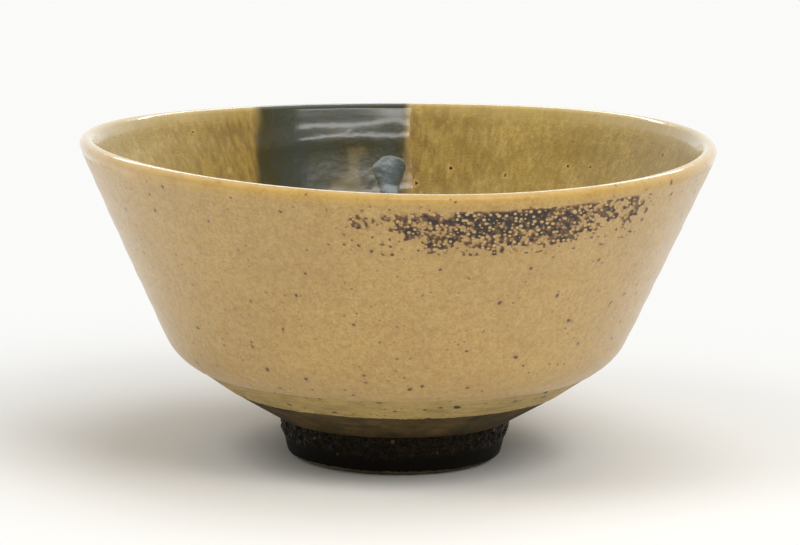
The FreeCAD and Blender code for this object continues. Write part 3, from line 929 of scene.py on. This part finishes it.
splash_material, tree, shader = new_material("iron_splash", 0.45, Coat_Weight=0.1, Coat_Roughness=0.2)
cloud = use(tree, MOTTLE, Size=3 * MM, Seed=21.0)
thick = maths(tree, "SUBTRACT", stored(tree, "thick"), 0.15)
thick = maths(tree, "MULTIPLY_ADD", cloud["Broad"], 0.3, thick)
colour = blend(tree, fade(tree, thick, 0.0, 0.3), SPLASH_TAN, SPLASH_BROWN)
colour = blend(tree, fade(tree, thick, 0.3, 0.85), colour, SPLASH_BLACK)
colour = blend(tree, fade(tree, stored(tree, "skin"), -0.1, 0.15), colour, BUBBLE_SKIN)
tree.links.new(colour, shader.inputs["Base Color"])
roughen(tree, shader, cloud["Grain"], 0.3, 0.1 * MM)


def burst_bubbles(across, down, seed):
    """How far each place lies inside its nearest burst bubble; negative on the net between them."""
    rng = np.random.default_rng(seed)
    count = (int(np.ptp(across) / BUBBLE) + 2, int(np.ptp(down) / BUBBLE) + 2)
    centre = np.indices(count) + rng.uniform(-0.4, 0.4, (2, *count))
    centre = centre * BUBBLE + np.array([across.min(), down.min()])[:, None, None]
    radius = rng.uniform(0.06, 0.4, count) * BUBBLE
    inside = np.full(across.shape, -BUBBLE)
    for x, y, reach in zip(*centre.reshape(2, -1), radius.ravel()):
        inside = np.maximum(inside, reach - np.hypot(across - x, down - y))
    return inside


def spattered(across, down, clots):
    """How much slip landed at each place, from soft oval clots."""
    amount = np.zeros_like(across)
    for middle, below, half_width, half_height, most in clots:
        off = np.hypot((across - middle * MM) / (half_width * MM), (down - below * MM) / (half_height * MM))
        amount = np.maximum(amount, most * np.clip(1.9 - 1.1 * off, 0, 1))
    return amount


angle, s, across, _ = patch(wall, FRONT, left=12 * MM, right=62 * MM, start=CREST + 2.6 * MM,
                            end=CREST + 16 * MM, columns=600, rows=136)
down = s - CREST
amount = spattered(across, down, SPLASH_CLOTS)
top_line = MM * np.interp(across / MM, *zip(*SPLASH_TOP))
net = amount + 0.22 * drifting(across, down * 1.3, 31, 4 * MM)
net = net + 0.26 * drifting(across, down, 32, 1.5 * MM) - 0.45
net = np.minimum(net, (down - top_line) / (0.8 * MM))
skin = burst_bubbles(across, down, 33)
dome = 0.35 + 0.5 * bead(np.maximum(skin, 0), 0.5 * MM)
rim = 1 - 0.2 * np.clip(skin / (0.3 * MM) + 1, 0, 1)
body = np.where(skin > 0, dome, rim) * np.clip(net * 5, 0, 1)
depth = GLAZE_THICKNESS + SPLASH_THICKNESS * np.where(net > 0, body, np.maximum(net * 4, -1))
splash = lay_coat("iron_splash_coat", wall, angle, s, depth, SPLASH_BED, closed=False,
                  thick=np.clip(net, 0, 1), skin=np.clip(skin / MM, -1, 1))
grow(splash, THROWN, OUTER_RINGS | OCHRE_RELIEF | {"Material": splash_material})
belongs(splash, "iron_splash")


# ---- The crust on the foot -------------------------------------------------------------------
# A heavy iron slip on the foot ring, boiled and glassy where it gathered under the bowl, smooth
# and matt black below. It stops short of the table and leaves a line of bare clay.

CRUST_THICKNESS = 0.4 * MM
CRUST_BEAD = 0.5 * MM
CRUST_COLUMNS = 640
BARE_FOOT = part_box("foot_glaze")[0][2]
CRUST_TOP = foot_path.where(FOOT_TOP - 0.02 * MM, after=FOOT_RADIUS - BORE_RADIUS)
CRUST_END = foot_path.where(BARE_FOOT, after=CRUST_TOP)


def boiled():
    """Geometry Nodes: rough lumps on a boiled coat, growing between two heights."""
    tree, given = geometry_tree("boiled_glaze", {
        "Lump size": 1.5 * MM, "Lump height": 0.0, "Low": 0.0, "High": 0.0})
    place = put(tree, "GeometryNodeInputPosition").outputs[0]
    z = put(tree, "ShaderNodeSeparateXYZ", {0: place}).outputs[2]
    lump = noise(tree, place, maths(tree, "DIVIDE", 1.0, given["Lump size"]), 3.0)
    lump = maths(tree, "SUBTRACT", fade(tree, lump, 0.35, 0.65), 0.4)
    lump = times(tree, times(tree, lump, given["Lump height"]), fade(tree, z, given["Low"], given["High"]))
    moved = put(tree, "GeometryNodeSetPosition", {
        "Geometry": given["Geometry"], "Offset": along_normal(tree, lump)}).outputs[0]
    return close_tree(tree, given, moved)


CRUST_BLACK = linear(13, 11, 5)
CRUST_BROWN = linear(40, 30, 14)
CRUST_RUST = linear(112, 80, 40)

crust_material, tree, shader = new_material("dark_crust", 0.5, Specular_IOR_Level=0.1)
cloud = use(tree, MOTTLE, Size=6 * MM, Seed=25.0)
chips = use(tree, SPECKS, Spacing=2.6 * MM, Size=0.6 * MM, Share=0.3)
_, (_, _, z) = own_place(tree)
upper = fade(tree, maths(tree, "MULTIPLY_ADD", cloud["Broad"], 1.5 * MM, z), 4.6 * MM, 6.4 * MM)
colour = blend(tree, times(tree, cloud["Grain"], upper), CRUST_BLACK, CRUST_BROWN)
colour = blend(tree, times(tree, chips["Speck"], upper), colour, CRUST_RUST)
tree.links.new(colour, shader.inputs["Base Color"])
tree.links.new(maths(tree, "MULTIPLY_ADD", upper, -0.25, 0.6), shader.inputs["Roughness"])
roughen(tree, shader, times(tree, cloud["Grain"], upper), 0.6, 0.3 * MM)

angle = around(CRUST_COLUMNS)
lower_line = CRUST_END + wavering(angle, 41, 0.3 * MM, last=120, evenness=0.4)
s = spread(np.full(CRUST_COLUMNS, CRUST_TOP), lower_line, 56, fine_rows=4, fine_run=0.4 * MM)
depth = CRUST_THICKNESS * bead(lower_line[:, None] - s, CRUST_BEAD)
foot_glaze = lay_coat("foot_glaze_coat", foot_path, angle, s, depth)
grow(foot_glaze, boiled(), {
    "Lump size": 1.6 * MM, "Lump height": 0.7 * MM, "Low": 4.5 * MM, "High": 6.5 * MM,
    "Material": crust_material})
belongs(foot_glaze, "foot_glaze")


# ---- Where the bowl stands -------------------------------------------------------------------
# A white sweep that is lit like a floor near the bowl and evenly bright beyond, under soft boxes
# overhead and on both sides of the front, and two long lamps that are seen only in the gloss.

FLOOR_REACH = 6
FLOOR_WHITE = (0.9, 0.9, 0.89)
SWEEP_START = 0.06
SWEEP_END = 0.22

corners = [(-1, -1), (1, -1), (1, 1), (-1, 1)]
floor_mesh = bpy.data.meshes.new("floor")
floor_mesh.from_pydata([(FLOOR_REACH * x, FLOOR_REACH * y, 0) for x, y in corners], [], [(0, 1, 2, 3)])
floor = bpy.data.objects.new("floor", floor_mesh)
bpy.context.scene.collection.objects.link(floor)

floor_material, tree, shader = new_material(
    "white_sweep", 1.0, Specular_IOR_Level=0.0, Emission_Strength=0.96)
_, (x, y, _) = own_place(tree)
sweep = fade(tree, from_axis(tree, x, y), SWEEP_START, SWEEP_END)
tree.links.new(blend(tree, sweep, FLOOR_WHITE, (0, 0, 0)), shader.inputs["Base Color"])
tree.links.new(blend(tree, sweep, (0, 0, 0), (1, 1, 0.985)), shader.inputs["Emission Color"])
floor_mesh.materials.append(floor_material)

SKY = 0.95
SKY_ON_MATT = 0.30
ROOM = 0.14

world = bpy.data.worlds.new("studio")
bpy.context.scene.world = world
world.use_nodes = True
tree = world.node_tree
sky = tree.nodes["Background"]
ray = put(tree, "ShaderNodeLightPath").outputs
heading = put(tree, "ShaderNodeTexCoord").outputs["Generated"]
ahead = put(tree, "ShaderNodeSeparateXYZ", {0: heading}).outputs[1]
gloss = maths(tree, "SUBTRACT", fade(tree, ahead, -0.4, 0.3, ROOM, SKY), SKY)
strength = maths(tree, "MULTIPLY_ADD", ray["Is Diffuse Ray"], SKY_ON_MATT - SKY, SKY)
strength = maths(tree, "MULTIPLY_ADD", ray["Is Glossy Ray"], gloss, strength)
tree.links.new(strength, sky.inputs["Strength"])
tree.links.new(blend(tree, ray["Is Diffuse Ray"], (1, 1, 0.99), (1, 0.97, 0.88)), sky.inputs["Color"])


def soft_box(name, place, target, width, depth, watts, lights=True):
    """A lamp that lights matt surfaces, or else one that is seen only as a highlight in gloss."""
    light = bpy.data.lights.new(name, "AREA")
    light.shape = "RECTANGLE"
    light.size = width
    light.size_y = depth
    light.energy = watts
    lamp = bpy.data.objects.new(name, light)
    lamp.visible_diffuse = lights
    lamp.visible_glossy = not lights
    bpy.context.scene.collection.objects.link(lamp)
    aim = (Vector(target) - Vector(place)).to_track_quat("-Z", "Y")
    lamp.matrix_world = Matrix.Translation(place) @ aim.to_matrix().to_4x4()


soft_box("overhead", (0.20, 0.0, 1.1), (0, 0, 0.05), 0.8, 0.8, 4.8)
soft_box("front_right", (0.59, -0.70, 0.92), (0, 0, 0.05), 0.7, 0.6, 7.2)
soft_box("front_left", (-0.62, -0.42, 0.85), (0, 0, 0.05), 0.5, 0.5, 3.3)
soft_box("window", (0.32, -0.70, 1.05), (0, 0, 0.07), 0.84, 0.09, 1.7, lights=False)
soft_box("window_behind", (0.0, 0.9, 0.75), (0, 0, 0.07), 1.4, 0.12, 3.0, lights=False)

CAMERA_PLACE = Vector((0, -0.850, 0.1858))
CAMERA_PITCH = 0.166
CAMERA_YAW = 0.001
CAMERA_ROLL = 0.014
camera = bpy.data.objects.new("camera", bpy.data.cameras.new("camera"))
bpy.context.scene.collection.objects.link(camera)
camera.data.lens = 165.7
camera.data.sensor_width = 36.0
camera.matrix_world = (
    Matrix.Translation(CAMERA_PLACE)
    @ Matrix.Rotation(-CAMERA_YAW, 4, "Z")
    @ Matrix.Rotation(math.pi / 2 - CAMERA_PITCH, 4, "X")
    @ Matrix.Rotation(CAMERA_ROLL, 4, "Z")
)
bpy.context.scene.camera = camera
bpy.context.scene.view_settings.view_transform = "Standard"
